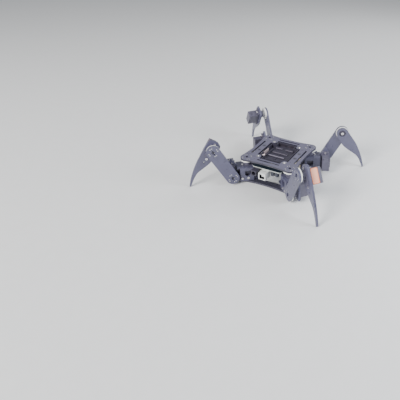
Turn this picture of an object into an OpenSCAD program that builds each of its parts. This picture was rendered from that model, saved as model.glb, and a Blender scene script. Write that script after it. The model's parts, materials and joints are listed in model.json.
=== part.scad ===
// Four-legged walking robot: two laser-cut plates, eleven micro servos, claw legs.
// Front of the robot faces -Y, +X is to the right seen from behind, +Z is up.
// Origin: middle of the footprint on the floor.  All lengths in millimetres.

/* [Body] */
// Distance between neighbouring hip axes
hip_spacing = 76; // [64:1:96]
// Thickness of every cut plate
plate_t = 3; // [2:0.5:4]
// Height of the upper face of the top plate above the floor
deck_z = 42; // [40:0.5:60]
// Height of the lower face of the bottom plate above the floor
belly_z = 0.5; // [0.5:0.5:10]
// Radius of the round ears over the hips
ear_r = 10.3; // [8:0.1:14]
// Half width of the plates at the middle of each side
waist = 44.8; // [40:0.1:50]
// Opening in both plates, across the robot
open_x = 54.8; // [40:0.2:60]
// Opening in both plates, along the robot
open_y = 66.8; // [50:0.2:70]
// Length of the slots beside the opening
side_slot = 45.6; // [20:0.2:50]
// Length of the slots in front of and behind the opening
end_slot = 38; // [20:0.2:40]

/* [Legs] */
// Hip axis to shoulder axis, measured outward
coxa_out = 26; // [24:0.1:32]
// Height of the shoulder axes above the floor
shoulder_z = 14; // [13:0.5:20]
// Shoulder axis to knee axis
femur_len = 57; // [48:1:72]
// Width of the upper leg plate
femur_w = 21; // [18:0.5:24]
// Knee axis to foot tip
tibia_len = 75; // [60:1:90]
// Angle of the upper leg above level
femur_deg = 61.5; // [30:0.1:80]
// Sideways direction of the front left leg from the X axis
yaw_fl = 42; // [25:1:70]
// Sideways direction of the front right leg from the X axis
yaw_fr = 40; // [25:1:70]
// Sideways direction of the rear right leg from the X axis
yaw_rr = 27; // [25:1:70]
// Sideways direction of the rear left leg from the X axis
yaw_rl = 40; // [25:1:70]

/* [Servos] */
// Length of the servo case
case_l = 23; // [20:0.1:25]
// Width of the servo case
case_w = 12; // [10:0.1:13]
// Height of the servo case without the round turret
case_h = 22.7; // [20:0.1:25]
// Length over both mounting tabs
tab_l = 32.5; // [28:0.1:36]
// Height of the lower face of the tabs over the case bottom
tab_z = 15.9; // [10:0.1:18]
// Thickness of the tabs
tab_t = 2.5; // [1.5:0.1:3]
// Distance from the output shaft to the near end of the case
shaft_in = 5.9; // [5:0.1:7]
// Radius of the round disc horns
horn_r = 10.25; // [8:0.05:12]
// Radius of the output shaft
shaft_r = 2; // [1.5:0.05:2.5]
// Running clearance on radius around each shaft and pivot
run_gap = 0.05; // [0.02:0.01:0.1]

/* [Hidden] */
$fn = 48;
half = hip_spacing / 2;
turret_top = case_h + 4;
disc_low = turret_top + 3.3;
disc_top = disc_low + 2;
// these move the origin to the middle of the footprint box
shift_x = -3.746;
shift_y = 1.233;
// hole spots along the servo, measured from the shaft
hole_a = -8.1;
hole_b = 19.5;
hip_base = deck_z - plate_t - disc_top;
yoke_z = hip_base + tab_z + tab_t;
floor_z = belly_z + plate_t;
// sideways positions in a leg, measured from the plane through the hip axis
disc_face = 11.5;
femur_mid = disc_face + plate_t / 2;
leg_base = disc_face - disc_top;
claw_face = leg_base + tab_z + tab_t;
// the rear right claw turns on a white disc that lies against the upper leg
disc_t = disc_top - disc_low;
slim_face = disc_face - disc_t - plate_t;
slip = 0.3;
slim_head = 9.4;
recess_r = 5.6;
pivot_r = 1.5;
knee_out = coxa_out + femur_len * cos(femur_deg);
knee_z = shoulder_z + femur_len * sin(femur_deg);
// half the width of the blunt foot tip, whose lower corner stands on the floor
tip_w = 1.3;
tibia_deg = asin(knee_z / norm([tibia_len, tip_w])) - atan(tip_w / tibia_len);
board_z = deck_z - 10.6;
board_t = 1.6;
screw_x = 23.4;
screw_y = 27.4;
post_x = 32.2;
post_y = 8;

// ---- small helpers ----
module box(x0, x1, y0, y1, z0, z1) {
    translate([x0, y0, z0]) cube([x1 - x0, y1 - y0, z1 - z0]);
}

module rod(r, z0, z1) {
    translate([0, 0, z0]) cylinder(r = r, h = z1 - z0);
}

module corners(x, y) {
    for (sx = [-1, 1], sy = [-1, 1]) translate([sx * x, sy * y, 0]) children();
}

// clearance hole for a flat head screw, with its cone ending at the given height
module countersunk(z) {
    rod(1.6, z - plate_t - 1, z + 1);
    translate([0, 0, z - 1.6]) cylinder(r1 = 1.6, r2 = 3, h = 1.6);
    translate([0, 0, z]) rod(3, 0, 1);
}

// flat head screw with a hexagon recess, its head level with the given height
module flat_screw(z, length) {
    difference() {
        translate([0, 0, z - 1.5]) cylinder(r1 = 1.5, r2 = 2.9, h = 1.5);
        translate([0, 0, z - 0.9]) cylinder(r = 1.1, h = 2, $fn = 6);
    }
    rod(1.25, z - length, z - 1.4);
}

// ---- body plates ----
module plate_blank(z0) {
    dip = ear_r + half - waist - 0.3;
    big = (half * half + dip * dip) / (2 * dip);
    edge = half + ear_r;
    difference() {
        union() {
            box(-half, half, -edge, edge, z0, z0 + plate_t);
            box(-edge, edge, -half, half, z0, z0 + plate_t);
            corners(half, half) rod(ear_r, z0, z0 + plate_t);
        }
        for (a = [0, 90, 180, 270]) rotate([0, 0, a])
            translate([0, waist + big, z0 - 1]) cylinder(r = big, h = plate_t + 2, $fn = 180);
        for (s = [-1, 1]) {
            box(s * 38.4 - 1.5, s * 38.4 + 1.5, -side_slot / 2, side_slot / 2, z0 - 1, z0 + plate_t + 1);
            box(-end_slot / 2, end_slot / 2, s * half - 1.35, s * half + 1.35, z0 - 1, z0 + plate_t + 1);
        }
    }
}

module top_plate() {
    z0 = deck_z - plate_t;
    color("DimGray") difference() {
        plate_blank(z0);
        difference() {
            box(-open_x / 2, open_x / 2, -open_y / 2, open_y / 2, z0 - 1, deck_z + 1);
            corners(screw_x, screw_y) rod(5, z0 - 2, deck_z + 2);
            for (sx = [-1, 1], sy = [-1, 1]) {
                box(min(sx * screw_x, sx * 29), max(sx * screw_x, sx * 29),
                    sy * 31 - 7.9, sy * 31 + 7.9, z0 - 2, deck_z + 2);
                box(sx * 25.3 - 7.1, sx * 25.3 + 7.1, min(sy * screw_y, sy * 35), max(sy * screw_y, sy * 35),
                    z0 - 2, deck_z + 2);
            }
        }
        corners(screw_x, screw_y) countersunk(deck_z);
        corners(post_x, post_y) countersunk(deck_z);
        corners(half, half) {
            rod(2.2, z0 - 1, deck_z + 1);
            horn_circle() rod(0.9, z0 - 1, deck_z + 1);
        }
    }
}

module bottom_plate() {
    color("DimGray") difference() {
        plate_blank(belly_z);
        box(-open_x / 2, open_x / 2, -open_y / 2, open_y / 2, belly_z - 1, floor_z + 1);
        corners(post_x, post_y) translate([0, 0, 2 * belly_z + plate_t]) mirror([0, 0, 1])
            countersunk(floor_z);
        corners(half, half) rod(1.95 + run_gap, belly_z - 1, floor_z + 1);
    }
}

module body_standoffs() {
    color("Goldenrod") corners(post_x, post_y) difference() {
        translate([0, 0, floor_z]) cylinder(r = 2.9, h = deck_z - plate_t - floor_z, $fn = 6);
        rod(1.25, floor_z - 1, floor_z + 8);
        rod(1.25, deck_z - plate_t - 8, deck_z);
    }
}

module standoff_screws() {
    color("DarkSlateGray") corners(post_x, post_y) {
        flat_screw(deck_z, plate_t + 5);
        translate([0, 0, 2 * belly_z + plate_t]) mirror([0, 0, 1]) flat_screw(floor_z, plate_t + 5);
    }
}

// ---- servo parts: shaft along +Z, case bottom at zero, case runs to +X ----
module servo_case() {
    difference() {
        union() {
            box(-shaft_in, case_l - shaft_in, -case_w / 2, case_w / 2, 0, case_h);
            box(-shaft_in - (tab_l - case_l) / 2, case_l - shaft_in + (tab_l - case_l) / 2,
                -case_w / 2, case_w / 2, tab_z, tab_z + tab_t);
            rod(case_w / 2 - 0.1, case_h - 1, turret_top);
            translate([5.6, 0, 0]) rod(2.9, case_h - 1, turret_top);
            box(-shaft_in - 1, -shaft_in, -2.2, 2.2, 3.4, 5.6);
        }
        for (z = [4.6, case_h - 3.6]) difference() {
            box(-shaft_in - 2, case_l, -case_w, case_w, z, z + 0.35);
            box(-shaft_in + 0.3, case_l - shaft_in - 0.3, -case_w / 2 + 0.3, case_w / 2 - 0.3, z - 1, z + 2);
        }
        for (x = [-shaft_in + 1.7, case_l - shaft_in - 1.7], y = [-4.3, 4.3]) translate([x, y, 0])
            rod(0.95, -1, 1.2);
        rod(shaft_r + run_gap, case_h - 4, turret_top + 1);
        for (x = [hole_a, hole_b]) translate([x, 0, 0]) rod(1, tab_z - 1, tab_z + tab_t + 1);
    }
}

// disc horn: eight short studs stand on its face and sit in the holes of the plate it carries
module horn() {
    difference() {
        union() {
            rod(horn_r, disc_low, disc_top);
            rod(3.5, turret_top + 0.3, disc_low + 0.5);
            rod(shaft_r, case_h - 3.5, disc_low + 0.5);
            horn_circle() rod(0.85, disc_top - 0.5, disc_top + plate_t - 0.4);
        }
        rod(1.1, disc_low - 2, disc_top + 1);
    }
}

module horn_circle() {
    for (a = [0 : 90 : 270], d = [-12, 12]) rotate([0, 0, a + d + 45]) translate([7, 0, 0]) children();
}

module tab_screw(plate_side) {
    // pan head on the plate, shank through tab and plate, hexagon nut behind the tab
    z1 = tab_z + tab_t + plate_side;
    difference() {
        rod(1.9, z1, z1 + 1.3);
        translate([0, 0, z1 + 0.6]) cylinder(r = 0.9, h = 2, $fn = 6);
    }
    rod(0.95, tab_z - 2.2, z1 + 0.3);
    translate([0, 0, tab_z - 1.6]) cylinder(r = 2.1, h = 1.6, $fn = 6);
}

// ---- one leg, drawn in its own frame: hip axis at zero, leg runs to +X, upper leg on +Y ----
module leg_place(sx, sy, yaw) {
    translate([sx * half, sy * half, 0]) mirror([sx < 0 ? 1 : 0, 0, 0])
        mirror([0, sy < 0 ? 1 : 0, 0]) rotate([0, 0, yaw]) children();
}

// servo frame turned so its shaft points along +Y of the leg and its length along the given angle
module side_servo(px, pz, base, ang) {
    translate([px, base, pz]) rotate([0, -ang, 0]) rotate([-90, 0, 0]) children();
}

module hip_place() {
    translate([0, 0, hip_base]) rotate([0, 0, 180]) children();
}

module shoulder_place() {
    side_servo(coxa_out, shoulder_z, leg_base, 90) children();
}

module knee_place() {
    side_servo(knee_out, knee_z, leg_base, -tibia_deg) children();
}

module coxa_bracket() {
    zs = shoulder_z;
    color("DimGray") difference() {
        union() {
            box(-24.5, 18.2, -8.4, 8.4, yoke_z, yoke_z + plate_t);
            box(-24.5, 18.2, -8.4, 8.4, hip_base - plate_t, hip_base);
            translate([0, claw_face + plate_t, 0]) rotate([90, 0, 0]) linear_extrude(height = plate_t)
                polygon([[11.2, floor_z + 0.6], [coxa_out + 9.4, floor_z + 0.6], [coxa_out + 9.4, zs + 7],
                    [coxa_out + 2, zs + 27.5], [coxa_out - 1.2, zs + 27.5], [16.2, yoke_z + plate_t],
                    [11.2, yoke_z + plate_t]]);
            box(14.6, 17.6, -8.4, claw_face, hip_base - plate_t, yoke_z + plate_t);
            cheek(-8.4 - plate_t, 17.6);
            cheek(8.4, 13.6);
        }
        hip_place() box(-shaft_in - 0.05, case_l - shaft_in + 0.05, -case_w / 2 - 0.05, case_w / 2 + 0.05,
            tab_z, case_h + 3);
        for (x = [-hole_a, -hole_b]) translate([x, 0, 0]) rod(0.95, yoke_z - 1, yoke_z + plate_t + 1);
        shoulder_place() box(-shaft_in - 0.05, case_l - shaft_in + 0.05, -case_w / 2 - 0.05,
            case_w / 2 + 0.05, 0, case_h + 3);
        shoulder_place() for (x = [hole_a, hole_b]) translate([x, 0, 0]) rod(0.95, tab_z - 4, turret_top);
        rod(1.95, 0, hip_base + 1);
        translate([-16, 0, 0]) rod(2.4, 0, hip_base + 1);
        translate([16, 0, 0]) box(-2, 2, -3, 3, 13, 19);
    }
}

// side plate of the coxa, with an arched window over the servo gearbox
module cheek(y0, x1) {
    difference() {
        box(-8.5, x1, y0, y0 + plate_t, hip_base - plate_t, yoke_z + plate_t);
        translate([1, y0 - 1, yoke_z - 8]) rotate([-90, 0, 0]) cylinder(r = 5, h = plate_t + 2);
        box(-4, 6, y0 - 1, y0 + plate_t + 1, yoke_z - 8, yoke_z - 3);
        for (x = [1, 10.5]) translate([x, y0 - 1, hip_base + 2.6]) rotate([-90, 0, 0])
            cylinder(r = 0.95, h = plate_t + 2);
    }
}

// small pan head screw in a cheek
module cheek_screw(x, y, out) {
    translate([x, y, hip_base + 2.6]) rotate([out > 0 ? -90 : 90, 0, 0]) {
        rod(0.95, -plate_t, 0.2);
        difference() {
            rod(1.9, 0, 1.2);
            translate([0, 0, 0.6]) cylinder(r = 0.9, h = 1, $fn = 6);
        }
    }
}

module hip_servo() {
    color("SteelBlue") hip_place() servo_case();
}

module shoulder_servo() {
    color("SteelBlue") shoulder_place() servo_case();
}

module coxa_screws() {
    color("Silver") {
        hip_place() for (x = [hole_a, hole_b]) translate([x, 0, 0]) tab_screw(plate_t);
        shoulder_place() for (x = [hole_a, hole_b]) translate([x, 0, 0]) tab_screw(plate_t);
        rod(1.95, belly_z + 0.3, hip_base);
        for (x = [1, 10.5]) {
            cheek_screw(x, 8.4 + plate_t, 1);
            cheek_screw(x, -8.4 - plate_t, -1);
        }
    }
}

// femur frame: shoulder axis at zero along +Y, plate runs to +X
module femur_place() {
    translate([coxa_out, disc_face, shoulder_z]) rotate([0, -femur_deg, 0]) rotate([-90, 0, 0])
        mirror([0, 1, 0]) children();
}

// holes for the horn studs, and the dark slotted hole over its hub
module femur_end() {
    rotate([0, 0, 45]) horn_circle() rod(0.9, -1, plate_t + 1);
    rod(2.6, -1, plate_t + 1);
    box(-4.6, 4.6, -0.9, 0.9, -1, plate_t + 1);
}

module femur_plate(pivot) {
    color("DimGray") femur_place() difference() {
        union() {
            rod(femur_w / 2, 0, plate_t);
            translate([femur_len, 0, 0]) rod(femur_w / 2, 0, plate_t);
            box(0, femur_len, -femur_w / 2, femur_w / 2, 0, plate_t);
        }
        femur_end();
        translate([femur_len, 0, 0]) if (pivot) rod(pivot_r + run_gap, -1, plate_t + 1); else femur_end();
    }
}

module shoulder_horn() {
    color("White") femur_place() translate([0, 0, -disc_top]) rotate([0, 0, 45]) horn();
}

module knee_horn() {
    color("White") femur_place() translate([femur_len, 0, -disc_top]) rotate([0, 0, 45]) horn();
}

module knee_servo() {
    color("SteelBlue") knee_place() servo_case();
}

// hub screws that hold the horns on their shafts
module femur_screws(pivot) {
    color("Silver") femur_place() for (x = pivot ? [0] : [0, femur_len]) translate([x, 0, 0]) {
        rod(1.05, -3.9, 0.1);
        difference() {
            rod(1.9, 0, 0.9);
            translate([0, 0, 0.4]) cylinder(r = 0.8, h = 1, $fn = 6);
        }
    }
}

// claw outline: knee axis at zero, foot tip on +X, outer side on +Y
function bow(p, q, r, s, n) = [for (i = [0 : n]) let (t = i / n, u = 1 - t)
    u * u * u * p + 3 * u * u * t * q + 3 * u * t * t * r + t * t * t * s];
blade = concat(
    bow([16, -9.8], [26, -9.4], [34, -4.6], [44, -0.6], 8),
    bow([47, 0.4], [54, 2.4], [64, 0.8], [tibia_len, -tip_w], 9),
    bow([tibia_len, tip_w], [66, 4.6], [52, 9.2], [28, 10.9], 12));
claw = concat([[-12.8, -3], [-8.6, -9.2], [-5, -10.4]], blade,
    bow([24, 10.9], [12, 11.6], [2, 11.6], [-8, 10.9], 6), [[-11.8, 9.4]]);
slim_claw = concat([[0, -slim_head]], blade, [[0, slim_head]]);

module claw_place(face) {
    translate([knee_out, face, knee_z]) rotate([0, tibia_deg, 0]) rotate([-90, 0, 0])
        mirror([0, 1, 0]) children();
}

module tibia_plate() {
    color("DimGray") claw_place(claw_face) difference() {
        linear_extrude(height = plate_t) polygon(claw);
        box(-shaft_in - 0.05, case_l - shaft_in + 0.05, -case_w / 2 - 0.05, case_w / 2 + 0.05,
            -1, plate_t + 1);
        for (x = [hole_a, hole_b]) translate([x, 0, 0]) rod(0.95, -1, plate_t + 1);
        translate([27, 0.5, 0]) rod(1.4, -1, plate_t + 1);
    }
}

module tibia_screws() {
    color("Silver") knee_place() for (x = [hole_a, hole_b]) translate([x, 0, 0]) tab_screw(plate_t);
}

// ---- rear right knee: a plain pivot with a round-headed claw and no servo ----
module slim_tibia_plate() {
    color("DimGray") claw_place(slim_face) difference() {
        union() {
            linear_extrude(height = plate_t) polygon(slim_claw);
            rod(slim_head, 0, plate_t);
        }
        rod(pivot_r + run_gap, -1, plate_t + 1);
        rod(recess_r, -1, 1.8);
    }
}

module knee_washer() {
    color("Black") claw_place(slim_face) difference() {
        rod(recess_r - 0.1, 0.6, 1.8);
        rod(pivot_r + run_gap, 0, plate_t);
    }
}

module pivot_disc() {
    color("White") claw_place(slim_face) difference() {
        rod(horn_r, plate_t, plate_t + disc_t - slip);
        rod(pivot_r + run_gap, 0, plate_t + disc_t);
    }
}

// screw through claw, disc and upper leg, with its nut a running gap behind the upper leg
module pivot_screw() {
    back = 2 * plate_t + disc_t + slip;
    color("Silver") claw_place(slim_face) {
        rod(pivot_r, 0, back + 3);
        difference() {
            rod(2.3, -0.9, 0.6);
            translate([0, 0, -1.5]) cylinder(r = 1.1, h = 1.4, $fn = 6);
        }
        translate([0, 0, back]) cylinder(r = 2.9, h = 2.2, $fn = 6);
    }
}

// ---- body electronics ----
module control_board() {
    color("DarkSlateGray") difference() {
        box(-26, 26, -44.5, 32, board_z, board_z + board_t);
        corners(screw_x, screw_y) rod(1.6, board_z - 1, board_z + 3);
        for (s = [-1, 1]) translate([s * 26, -44.5, board_z - 1]) rotate([0, 0, 45])
            translate([-2, -2, 0]) cube([4, 4, 4]);
    }
}

module usb_socket() {
    color("Gainsboro") difference() {
        box(-6.6, 5.6, -57, -41, board_z - 11, board_z);
        box(-4.9, 3.9, -58, -47.5, board_z - 9.4, board_z - 1.6);
    }
    color("Gainsboro") box(-3.3, 2.3, -53.2, -47, board_z - 7.4, board_z - 3.8);
}

module power_jack() {
    color("Black") difference() {
        union() {
            box(-20.6, -11.6, -55.6, -42.4, board_z - 9, board_z);
        }
        translate([-16.1, -43.9, board_z - 4.6]) rotate([90, 0, 0]) cylinder(r = 3.2, h = 13);
    }
    color("Black") translate([-16.1, -43.5, board_z - 4.6]) rotate([90, 0, 0]) cylinder(r = 1, h = 6.5);
}

module board_capacitors() {
    color("MidnightBlue") for (x = [11.2, 18.6]) translate([x, -42.4, 0]) {
        rod(3.15, board_z - 7.2, board_z - 0.4);
        rod(2.6, board_z - 1, board_z);
    }
}

module board_headers() {
    color("Black") {
        for (s = [-1, 1]) difference() {
            box(s * 18 - 1.25, s * 18 + 1.25, -18, 10, board_z - 8.5, board_z);
            for (i = [0 : 10]) box(s * 18 - 0.4, s * 18 + 0.4, -17.1 + i * 2.54, -16.3 + i * 2.54,
                board_z - 9, board_z - 3);
        }
        box(-5, 5, -16, -6, board_z - 1.6, board_z);
        box(-9, 9, 2, 9.5, board_z - 3.4, board_z);
    }
}

module battery_holder() {
    zb = board_z + board_t + 1;
    bay = zb + 1.4;
    color("Black") difference() {
        union() {
            box(-25, 25, -21.5, 21.5, zb, deck_z - 1);
            box(-16.6, 16.6, -31.5, 31.5, zb, deck_z - 1);
            corners(screw_x, screw_y) rod(3.4, board_z + board_t, deck_z - plate_t);
            for (sy = [-1, 1]) box(-24, 24, sy * 26 - 3.4, sy * 26 + 3.4, zb, deck_z - plate_t);
        }
        box(-23.4, 23.4, -20, 20, bay, deck_z);
        box(-15.2, 15.2, -30, 30, bay, deck_z);
        corners(screw_x, screw_y) rod(1.6, board_z, deck_z);
    }
    // low ribs that cradle the cells
    color("Black") {
        for (s = [-1, 1]) box(s * 9.8 - 6.6, s * 9.8 + 6.6, 17.2, 19.6, bay - 0.2, bay + 3.4);
        box(-13, 13, 2.6, 5.2, bay - 0.2, bay + 3.4);
        box(-15, 13, -9.4, -7.4, bay - 0.2, bay + 2.2);
        for (s = [-1, 1]) box(s * 7.6 - 6.4, s * 7.6 + 6.4, -24.4, -21.6, bay - 0.2, bay + 3);
        box(-0.8, 0.8, -18, 14, bay - 0.2, bay + 1.2);
        box(-18.2, -16.6, -13.2, 12, bay - 0.2, bay + 3);
    }
}

module battery_contacts() {
    bay = board_z + board_t + 2.4;
    color("Silver") {
        for (x = [-13.4, 1.6], y = [-29.9, 29.3]) box(x, x + 11.8, y, y + 0.6, bay, bay + 4.6);
        // bent strip on the left wall, and the spring in the front left corner
        box(-23.3, -22.5, -9, 6, bay, bay + 5.2);
        translate([-20.2, -19.9, bay + 2.8]) for (i = [0 : 3]) translate([0, i * 1.5, 0])
            rotate([-90, 0, 0]) difference() {
                cylinder(r = 2.7 - i * 0.25, h = 1.5);
                translate([0, 0, 0.6]) cylinder(r = 1.5, h = 2);
                translate([0, 0, -1]) cylinder(r = 0.8, h = 3);
            }
    }
}

// the four screws clamp deck, holder and board; their thin nuts clear the hip servos below
module holder_screws() {
    color("Silver") corners(screw_x, screw_y) {
        flat_screw(deck_z, deck_z - board_z + 1.2);
        translate([0, 0, board_z - 1.3]) cylinder(r = 2.9, h = 1.3, $fn = 6);
    }
}

module hip_horns() {
    color("White") for (sx = [-1, 1], sy = [-1, 1]) translate([sx * half, sy * half, hip_base]) horn();
}

// ---- nodes ----
translate([shift_x, shift_y, 0]) {
top_plate();
bottom_plate();
hip_horns();
body_standoffs();
standoff_screws();
holder_screws();
battery_holder();
battery_contacts();
control_board();
usb_socket();
power_jack();
board_capacitors();
board_headers();
leg_place(-1, -1, yaw_fl) coxa_bracket();  // fl_coxa_bracket
leg_place(-1, -1, yaw_fl) hip_servo();  // fl_hip_servo
leg_place(-1, -1, yaw_fl) shoulder_servo();  // fl_shoulder_servo
leg_place(-1, -1, yaw_fl) coxa_screws();  // fl_coxa_screws
leg_place(-1, -1, yaw_fl) femur_plate(false);  // fl_femur_plate
leg_place(-1, -1, yaw_fl) shoulder_horn();  // fl_shoulder_horn
leg_place(-1, -1, yaw_fl) knee_horn();  // fl_knee_horn
leg_place(-1, -1, yaw_fl) femur_screws(false);  // fl_femur_screws
leg_place(-1, -1, yaw_fl) tibia_plate();  // fl_tibia_plate
leg_place(-1, -1, yaw_fl) knee_servo();  // fl_knee_servo
leg_place(-1, -1, yaw_fl) tibia_screws();  // fl_tibia_screws
leg_place(1, -1, yaw_fr) coxa_bracket();  // fr_coxa_bracket
leg_place(1, -1, yaw_fr) hip_servo();  // fr_hip_servo
leg_place(1, -1, yaw_fr) shoulder_servo();  // fr_shoulder_servo
leg_place(1, -1, yaw_fr) coxa_screws();  // fr_coxa_screws
leg_place(1, -1, yaw_fr) femur_plate(false);  // fr_femur_plate
leg_place(1, -1, yaw_fr) shoulder_horn();  // fr_shoulder_horn
leg_place(1, -1, yaw_fr) knee_horn();  // fr_knee_horn
leg_place(1, -1, yaw_fr) femur_screws(false);  // fr_femur_screws
leg_place(1, -1, yaw_fr) tibia_plate();  // fr_tibia_plate
leg_place(1, -1, yaw_fr) knee_servo();  // fr_knee_servo
leg_place(1, -1, yaw_fr) tibia_screws();  // fr_tibia_screws
leg_place(1, 1, yaw_rr) coxa_bracket();  // rr_coxa_bracket
leg_place(1, 1, yaw_rr) hip_servo();  // rr_hip_servo
leg_place(1, 1, yaw_rr) shoulder_servo();  // rr_shoulder_servo
leg_place(1, 1, yaw_rr) coxa_screws();  // rr_coxa_screws
leg_place(1, 1, yaw_rr) femur_plate(true);  // rr_femur_plate
leg_place(1, 1, yaw_rr) shoulder_horn();  // rr_shoulder_horn
leg_place(1, 1, yaw_rr) pivot_disc();  // rr_knee_horn
leg_place(1, 1, yaw_rr) femur_screws(true);  // rr_femur_screws
leg_place(1, 1, yaw_rr) slim_tibia_plate();  // rr_tibia_plate
leg_place(1, 1, yaw_rr) knee_washer();  // rr_knee_washer
leg_place(1, 1, yaw_rr) pivot_screw();  // rr_tibia_screws
leg_place(-1, 1, yaw_rl) coxa_bracket();  // rl_coxa_bracket
leg_place(-1, 1, yaw_rl) hip_servo();  // rl_hip_servo
leg_place(-1, 1, yaw_rl) shoulder_servo();  // rl_shoulder_servo
leg_place(-1, 1, yaw_rl) coxa_screws();  // rl_coxa_screws
leg_place(-1, 1, yaw_rl) femur_plate(false);  // rl_femur_plate
leg_place(-1, 1, yaw_rl) shoulder_horn();  // rl_shoulder_horn
leg_place(-1, 1, yaw_rl) knee_horn();  // rl_knee_horn
leg_place(-1, 1, yaw_rl) femur_screws(false);  // rl_femur_screws
leg_place(-1, 1, yaw_rl) tibia_plate();  // rl_tibia_plate
leg_place(-1, 1, yaw_rl) knee_servo();  // rl_knee_servo
leg_place(-1, 1, yaw_rl) tibia_screws();  // rl_tibia_screws
}
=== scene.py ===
import json
import math

import bmesh
import bpy
from mathutils import Matrix, Vector


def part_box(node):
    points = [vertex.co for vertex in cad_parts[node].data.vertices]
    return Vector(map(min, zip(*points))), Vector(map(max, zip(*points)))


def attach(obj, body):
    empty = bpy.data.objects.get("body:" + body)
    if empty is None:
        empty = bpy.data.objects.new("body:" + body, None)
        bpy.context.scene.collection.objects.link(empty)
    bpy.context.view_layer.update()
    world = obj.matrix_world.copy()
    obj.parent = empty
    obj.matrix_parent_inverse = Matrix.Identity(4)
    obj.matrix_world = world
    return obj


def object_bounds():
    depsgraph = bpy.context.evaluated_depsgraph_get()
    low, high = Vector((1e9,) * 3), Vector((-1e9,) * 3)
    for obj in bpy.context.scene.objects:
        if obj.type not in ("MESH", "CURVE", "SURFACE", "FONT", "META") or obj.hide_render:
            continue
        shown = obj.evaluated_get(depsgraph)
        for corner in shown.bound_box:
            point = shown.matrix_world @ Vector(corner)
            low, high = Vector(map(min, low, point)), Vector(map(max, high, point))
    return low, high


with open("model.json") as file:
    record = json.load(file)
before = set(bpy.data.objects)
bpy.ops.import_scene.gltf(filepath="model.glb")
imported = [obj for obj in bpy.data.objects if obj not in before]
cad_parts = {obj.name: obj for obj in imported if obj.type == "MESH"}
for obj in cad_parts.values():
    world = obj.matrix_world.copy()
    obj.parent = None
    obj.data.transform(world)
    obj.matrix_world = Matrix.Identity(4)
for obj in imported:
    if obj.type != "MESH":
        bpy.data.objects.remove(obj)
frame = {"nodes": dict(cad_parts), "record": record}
cad_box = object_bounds()
record = frame["record"]
MM = 0.001
LEGS = ("fl", "fr", "rr", "rl")
SERVO_KNEES = ("fl", "fr", "rl")    # the rear right knee is a plain pivot

# ---------------------------------------------------------------- materials
NOISE_LOW, NOISE_HIGH = 0.3, 0.7    # most of a noise texture lies between these
NOISE_ROUGHNESS = 0.6
PATCH_SCALE, PATCH_DETAIL = 60, 5.0     # broad patches of colour and gloss
GRAIN_DETAIL = 3.0
BUMP_STRENGTH = 0.6
UPRIGHT, LEVEL = 0.35, 0.65         # how far a normal points up or down on walls and on flats
OUTSIDE, INSIDE = 0.2, 0.6          # where a box's mask changes colour


class Graph:
    """A node tree built by short calls."""

    def __init__(self, name):
        self.mat = bpy.data.materials.new(name)
        self.mat.use_nodes = True
        self.tree = self.mat.node_tree
        self.tree.nodes.clear()
        output = self.add("ShaderNodeOutputMaterial")
        self.shader = self.add("ShaderNodeBsdfPrincipled")
        self.join(self.shader.outputs[0], output.inputs["Surface"])
        self.coord = self.add("ShaderNodeTexCoord")

    def add(self, kind):
        return self.tree.nodes.new(kind)

    def join(self, a, b):
        self.tree.links.new(a, b)

    def noise(self, scale, detail, stretch=(1, 1, 1)):
        mapping = self.add("ShaderNodeMapping")
        mapping.inputs["Scale"].default_value = stretch
        self.join(self.coord.outputs["Object"], mapping.inputs["Vector"])
        texture = self.add("ShaderNodeTexNoise")
        texture.inputs["Scale"].default_value = scale
        texture.inputs["Detail"].default_value = detail
        texture.inputs["Roughness"].default_value = NOISE_ROUGHNESS
        self.join(mapping.outputs[0], texture.inputs["Vector"])
        return texture.outputs["Fac"]

    def ramp(self, fac, stops):
        node = self.add("ShaderNodeValToRGB")
        for stop, (position, colour) in zip(node.color_ramp.elements, stops):
            stop.position = position
            stop.color = (*colour, 1)
        self.join(fac, node.inputs["Fac"])
        return node.outputs["Color"]

    def span(self, fac, low, high):
        node = self.add("ShaderNodeMapRange")
        node.inputs["From Min"].default_value = NOISE_LOW
        node.inputs["From Max"].default_value = NOISE_HIGH
        node.inputs["To Min"].default_value = low
        node.inputs["To Max"].default_value = high
        self.join(fac, node.inputs["Value"])
        return node.outputs["Result"]

    def bump(self, fac, height):
        node = self.add("ShaderNodeBump")
        node.inputs["Strength"].default_value = BUMP_STRENGTH
        node.inputs["Distance"].default_value = height
        self.join(fac, node.inputs["Height"])
        self.join(node.outputs["Normal"], self.shader.inputs["Normal"])

    def math(self, operation, *terms):
        """A sum, product or test of node outputs and plain numbers."""
        node = self.add("ShaderNodeMath")
        node.operation = operation
        for socket, term in zip(node.inputs, terms):
            if isinstance(term, float):
                socket.default_value = term
            else:
                self.join(term, socket)
        return node.outputs[0]

    def axes(self, kind):
        node = self.add("ShaderNodeSeparateXYZ")
        self.join(self.coord.outputs[kind], node.inputs[0])
        return node.outputs

    def inside(self, low, high):
        """1 within the box from low to high, in metres, and 0 outside it."""
        mask = None
        for value, least, most in zip(self.axes("Object"), low, high):
            for test in (self.math("GREATER_THAN", value, least),
                         self.math("LESS_THAN", value, most)):
                mask = test if mask is None else self.math("MULTIPLY", mask, test)
        return mask

    def multiply(self, a, b):
        node = self.add("ShaderNodeMix")
        node.data_type = "RGBA"
        node.blend_type = "MULTIPLY"
        node.inputs["Factor"].default_value = 1.0
        self.join(a, node.inputs["A"])
        self.join(b, node.inputs["B"])
        return node.outputs["Result"]


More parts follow.
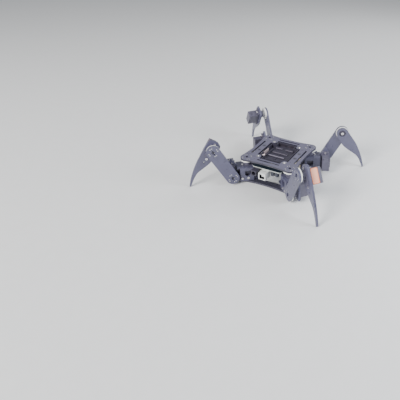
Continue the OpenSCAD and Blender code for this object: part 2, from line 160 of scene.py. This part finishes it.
def surface(name, base, rough, grain, vary=0.12, bump=0.00003, metal=0.0, stretch=(1, 1, 1),
            wall=None, second=None, boxes=(), **more):
    """A surface with faint uneven colour, patchy gloss and a fine grain.

    rough is the range of roughness, grain the scale of the grain and bump its height. wall is the
    colour of upright faces. second is the colour inside the first box but not inside the other
    boxes. more holds further inputs of the shader, with _ for a space."""
    g = Graph(name)
    wide = g.noise(PATCH_SCALE, PATCH_DETAIL)
    colour = g.ramp(wide, [(NOISE_LOW, (1 - vary,) * 3), (NOISE_HIGH, (1, 1, 1))])
    if wall:
        level = g.math("ABSOLUTE", g.axes("Normal")[2])
        colour = g.multiply(colour, g.ramp(level, [(UPRIGHT, wall), (LEVEL, base)]))
    elif second:
        mask = g.inside(*boxes[0])
        for box in boxes[1:]:
            mask = g.math("SUBTRACT", mask, g.inside(*box))
        colour = g.multiply(colour, g.ramp(mask, [(OUTSIDE, base), (INSIDE, second)]))
    else:
        low, high = (tuple(min(1.0, c * k) for c in base) for k in (1 - vary, 1 + vary))
        colour = g.ramp(wide, [(NOISE_LOW, low), (NOISE_HIGH, high)])
    g.join(colour, g.shader.inputs["Base Color"])
    g.join(g.span(wide, *rough), g.shader.inputs["Roughness"])
    g.bump(g.noise(grain, GRAIN_DETAIL, stretch), bump)
    g.shader.inputs["Metallic"].default_value = metal
    for key, value in more.items():
        g.shader.inputs[key.replace("_", " ")].default_value = value
    return g.mat


def within(low, high, trim_low, trim_high):
    """The box from low to high, drawn in by the trims, in mm."""
    return low + Vector(trim_low) * MM, high - Vector(trim_high) * MM


# the socket's mouth is painted dark around its pale tongue: painted shade in the opening
socket_lo, socket_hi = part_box("usb_socket")
shaded_mouth = within(socket_lo, socket_hi, (1.55, 0.05, 1.55), (1.55, 6.4, 1.55))
tongue = within(socket_lo, socket_hi, (3.2, 3.7, 3.2), (3.2, 6.2, 3.2))
# the rear contacts stand in shade and look dull
contacts_lo, contacts_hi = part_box("battery_contacts")
rear_contacts = within(Vector((contacts_lo.x, contacts_hi.y, contacts_lo.z)), contacts_hi, (-1, -3, -1),
                       (-1, -1, -1))
# the tops of the low ribs in the holder are coloured paler
holder_lo, holder_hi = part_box("battery_holder")
rib_tops = within(holder_lo, Vector((holder_hi.x, holder_hi.y, holder_lo.z)), (12, 8, 3.9),
                  (10, 8, -5.0))

CLEAR_SHEET = {"Coat_Weight": 0.2, "Coat_Roughness": 0.15}
SHEET = (0.092, 0.091, 0.150)
MOULDING = (0.040, 0.036, 0.058)
LOOKS = {
    "acrylic": surface("cast_sheet", SHEET, (0.24, 0.38), 220, 0.10, 0.00002, **CLEAR_SHEET),
    "horn_plastic": surface("white_nylon", (0.90, 0.91, 0.89), (0.38, 0.52), 1500, 0.04),
    "servo_case": surface("dark_case_plastic", (0.105, 0.100, 0.145), (0.34, 0.50), 2600, 0.15, 0.00005),
    "steel": surface("nickel_steel", (0.80, 0.78, 0.80), (0.20, 0.36), 1800, 0.06, 0.00002, 1.0,
                     (1, 1, 6)),
    "black_screws": surface("blackened_steel", (0.10, 0.10, 0.13), (0.35, 0.5), 1800, 0.2, 0.00002, 0.4),
    "brass": surface("turned_brass", (0.48, 0.42, 0.31), (0.26, 0.40), 1600, 0.08, 0.00002, 0.9,
                     (1, 1, 8)),
    "black_plastic": surface("black_moulding", MOULDING, (0.36, 0.52), 2200, 0.2, 0.00006),
    "contact_metal": surface("plated_strip", (0.84, 0.70, 0.71), (0.30, 0.46), 1300, 0.05, 0.00002, 0.6,
                             second=(0.07, 0.06, 0.085), boxes=(rear_contacts,)),
    "board": surface("solder_mask", (0.018, 0.030, 0.045), (0.26, 0.42), 700, 0.25, 0.00004,
                     wall=(0.52, 0.55, 0.54), Coat_Weight=0.3, Coat_Roughness=0.2),
    # the dark colour inside the socket's mouth is painted shade
    "socket_shell": surface("socket_plating", (0.90, 0.92, 0.90), (0.30, 0.42), 1100, 0.05, 0.00002, 0.3,
                            second=(0.03, 0.03, 0.04), boxes=(shaded_mouth, tongue)),
    "capacitor_sleeve": surface("sleeve_film", (0.040, 0.045, 0.062), (0.22, 0.36), 1500, 0.2),
}
slot_of = {s["node"]: s["material_slot"] for s in record["subparts"]}
look_of = {node: LOOKS[slot] for node, slot in slot_of.items()}
# the deck: a lighter copy of the sheet colour as painted light on its upward face, and dark upright
# faces as painted shade in its slots and along its edges
look_of["top_plate"] = surface("deck_sheet_painted_light_and_shade", (0.128, 0.123, 0.184), (0.24, 0.38), 220, 0.10, 0.00002,
                               wall=(0.042, 0.040, 0.062), **CLEAR_SHEET)
# the lower plate: a darker copy of the sheet colour as painted shade
look_of["bottom_plate"] = surface("lower_sheet_painted_shade", (0.060, 0.058, 0.085), (0.20, 0.34), 220, 0.10,
                                  0.00002, **CLEAR_SHEET)
look_of["battery_holder"] = surface("holder_moulding", MOULDING, (0.36, 0.52), 2200, 0.2,
                                    second=(0.22, 0.20, 0.26), boxes=(rib_tops,))
for leg in LEGS:
    look_of[leg + "_femur_screws"] = LOOKS["black_screws"]
# a paler colour on the cut edges: partly the frosted cut, partly a painted highlight along the outlines
cut_edge_frost_and_highlight = surface("cut_sheet_edge_frost_and_highlight", (0.26, 0.25, 0.33), (0.35, 0.50), 900)

WORN_EDGE, CRISP_EDGE = 0.25 * MM, 0.12 * MM
SHARP_ANGLE = math.radians(50)      # only edges sharper than this are rounded

for node, obj in frame["nodes"].items():
    obj.data.materials.clear()
    obj.data.materials.append(look_of[node])
    bevel = obj.modifiers.new("edge", "BEVEL")
    bevel.width = WORN_EDGE if slot_of[node] in ("acrylic", "servo_case") else CRISP_EDGE
    bevel.segments = 2
    bevel.limit_method = "ANGLE"
    bevel.angle_limit = SHARP_ANGLE
    if slot_of[node] == "acrylic":      # the rounded edge of a cut sheet is paler: partly its frosted cut, partly a painted highlight
        obj.data.materials.append(cut_edge_frost_and_highlight)
        bevel.material = 1


# ---------------------------------------------------------------- servo labels
# in mm
CASE_MID = 5.55     # from the output shaft to the middle of the case, along the case
CASE_SIDE = 6.0     # half the width of the case
LABEL_RISE = 10.2   # middle of the label over the case bottom
JOINT_RISE = 26.5   # the knee joint's point over the case bottom
BORDER_SIZE, BORDER_LIFT = (22.3, 10.8, 0.14), 0.05     # the lift is of the sticker's middle
FIELD_SIZE, FIELD_LIFT = (21.1, 9.2, 0.10), 0.14        # over the side of the case
CORNER = 1.2        # corner radius of a sticker
CORNER_STEPS = 5


def sticker(name, centre, along, across, out, size, mat):
    """A thin sticker with rounded corners: size is length, width and thickness in mm."""
    reach, half_width, rise = size[0] / 2 - CORNER, size[1] / 2 - CORNER, size[2] / 2
    form = bmesh.new()
    rim = []
    for corner, (u, v) in enumerate(((1, 1), (-1, 1), (-1, -1), (1, -1))):
        for step in range(CORNER_STEPS + 1):
            angle = math.pi / 2 * (corner + step / CORNER_STEPS)
            spot = (along * (u * reach + CORNER * math.cos(angle))
                    + across * (v * half_width + CORNER * math.sin(angle)) - out * rise)
            rim.append(form.verts.new(centre + spot * MM))
    grown = bmesh.ops.extrude_face_region(form, geom=[form.faces.new(rim)])["geom"]
    bmesh.ops.translate(form, verts=[v for v in grown if isinstance(v, bmesh.types.BMVert)],
                        vec=out * size[2] * MM)
    bmesh.ops.recalc_face_normals(form, faces=form.faces)
    mesh = bpy.data.meshes.new(name)
    form.to_mesh(mesh)
    form.free()
    mesh.materials.append(mat)
    obj = bpy.data.objects.new(name, mesh)
    bpy.context.scene.collection.objects.link(obj)
    return obj


joints = {j["name"]: j for j in record["behaviour"]["joints"]}
label_border = surface("label_border", (0.95, 0.22, 0.07), (0.35, 0.45), 1600, 0.06, 0.00001)
label_field = surface("label_field", (1.0, 0.46, 0.31), (0.35, 0.45), 1600, 0.05, 0.00001)
for leg in SERVO_KNEES:
    knee = joints[leg + "_knee"]
    axis_point = Vector(knee["pos_m"])
    across = Vector(knee["axis"]).normalized()
    # the two tab screws give the direction of the case, away from the knee
    screws = sorted((v.co for v in frame["nodes"][leg + "_tibia_screws"].data.vertices),
                    key=lambda co: (co - axis_point).length)
    half = len(screws) // 2
    near, far = (sum(part, Vector()) / len(part) for part in (screws[:half], screws[half:]))
    horn, servo = (sum(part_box(leg + part), Vector()) / 2 for part in ("_knee_horn", "_knee_servo"))
    if across.dot(horn - servo) < 0:    # it points from the servo to its horn
        across = -across
    along = far - near
    along = (along - across * along.dot(across)).normalized()
    out = along.cross(across)
    if out.z < 0:       # the label is on the upper side of the case
        out = -out
    mid = axis_point + (across * (LABEL_RISE - JOINT_RISE) + along * CASE_MID) * MM
    for part, size, lift, mat in (("border", BORDER_SIZE, BORDER_LIFT, label_border),
                                  ("field", FIELD_SIZE, FIELD_LIFT, label_field)):
        piece = sticker(f"{leg}_knee_label_{part}", mid + out * (CASE_SIDE + lift) * MM, along,
                        across, out, size, mat)
        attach(piece, leg + "_tibia")


# ---------------------------------------------------------------- floor, light, camera
REACH = 6.0             # from the middle of the floor to its edges
SKY_COLOUR, SKY_STRENGTH = (0.93, 0.96, 1.0, 1), 0.40
# viewing direction, distance and framing
AZIMUTH, ELEVATION, ROLL = (math.radians(a) for a in (27.3, 30.83, 0.22))
AIM_DEPTH = 0.020       # the point looked at, below the top of the deck
DISTANCE = 0.639        # from there to the camera
SENSOR = 36             # mm
LENS = 34.71            # mm
SHIFT = (-0.1977, -0.0942)
NEAREST = 0.01

lo, hi = cad_box
floor_mesh = bpy.data.meshes.new("floor")
floor_mesh.from_pydata([(i * REACH, j * REACH, 0) for i, j in ((-1, -1), (1, -1), (1, 1), (-1, 1))],
                       [], [(0, 1, 2, 3)])
floor = bpy.data.objects.new("floor", floor_mesh)
bpy.context.scene.collection.objects.link(floor)
floor.location.z = lo.z
floor_mesh.materials.append(surface("pale_floor", (0.86, 0.87, 0.88), (0.6, 0.7), 30, 0.01, 0.00001))

world = bpy.data.worlds.new("studio")
bpy.context.scene.world = world
world.use_nodes = True
background = world.node_tree.nodes["Background"]
background.inputs["Color"].default_value = SKY_COLOUR
background.inputs["Strength"].default_value = SKY_STRENGTH


def lamp(name, where, aim, power, size, colour=(1, 1, 1)):
    """A square lamp: power in watts, size of its side."""
    data = bpy.data.lights.new(name, "AREA")
    data.energy = power
    data.size = size
    data.color = colour
    obj = bpy.data.objects.new(name, data)
    bpy.context.scene.collection.objects.link(obj)
    obj.location = where
    obj.rotation_euler = (Vector(aim) - Vector(where)).to_track_quat("-Z", "Y").to_euler()


middle = (lo + hi) / 2
lamp("key", (-0.6, -2.0, 1.3), middle, 80, 1.1, (1.0, 0.98, 0.95))
lamp("fill", (0.75, 0.1, 0.40), middle, 6, 0.4, (0.92, 0.95, 1.0))
lamp("back", (0.2, 1.1, 1.0), middle, 7, 0.9)

away = Vector((math.sin(AZIMUTH) * math.cos(ELEVATION), -math.cos(AZIMUTH) * math.cos(ELEVATION),
               math.sin(ELEVATION)))
deck_lo, deck_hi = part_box("top_plate")
target = Vector(((deck_lo.x + deck_hi.x) / 2, (deck_lo.y + deck_hi.y) / 2, deck_hi.z - AIM_DEPTH))
cam_data = bpy.data.cameras.new("view")
cam = bpy.data.objects.new("view", cam_data)
bpy.context.scene.collection.objects.link(cam)
right = Vector((math.cos(AZIMUTH), math.sin(AZIMUTH), 0))
up = away.cross(right)
right, up = (math.cos(ROLL) * right + math.sin(ROLL) * up,
             math.cos(ROLL) * up - math.sin(ROLL) * right)
cam.matrix_world = Matrix((
    (right.x, up.x, away.x, target.x + away.x * DISTANCE),
    (right.y, up.y, away.y, target.y + away.y * DISTANCE),
    (right.z, up.z, away.z, target.z + away.z * DISTANCE),
    (0, 0, 0, 1)))
cam_data.sensor_width = SENSOR
cam_data.lens = LENS
cam_data.shift_x, cam_data.shift_y = SHIFT
cam_data.clip_start = NEAREST
bpy.context.scene.camera = cam
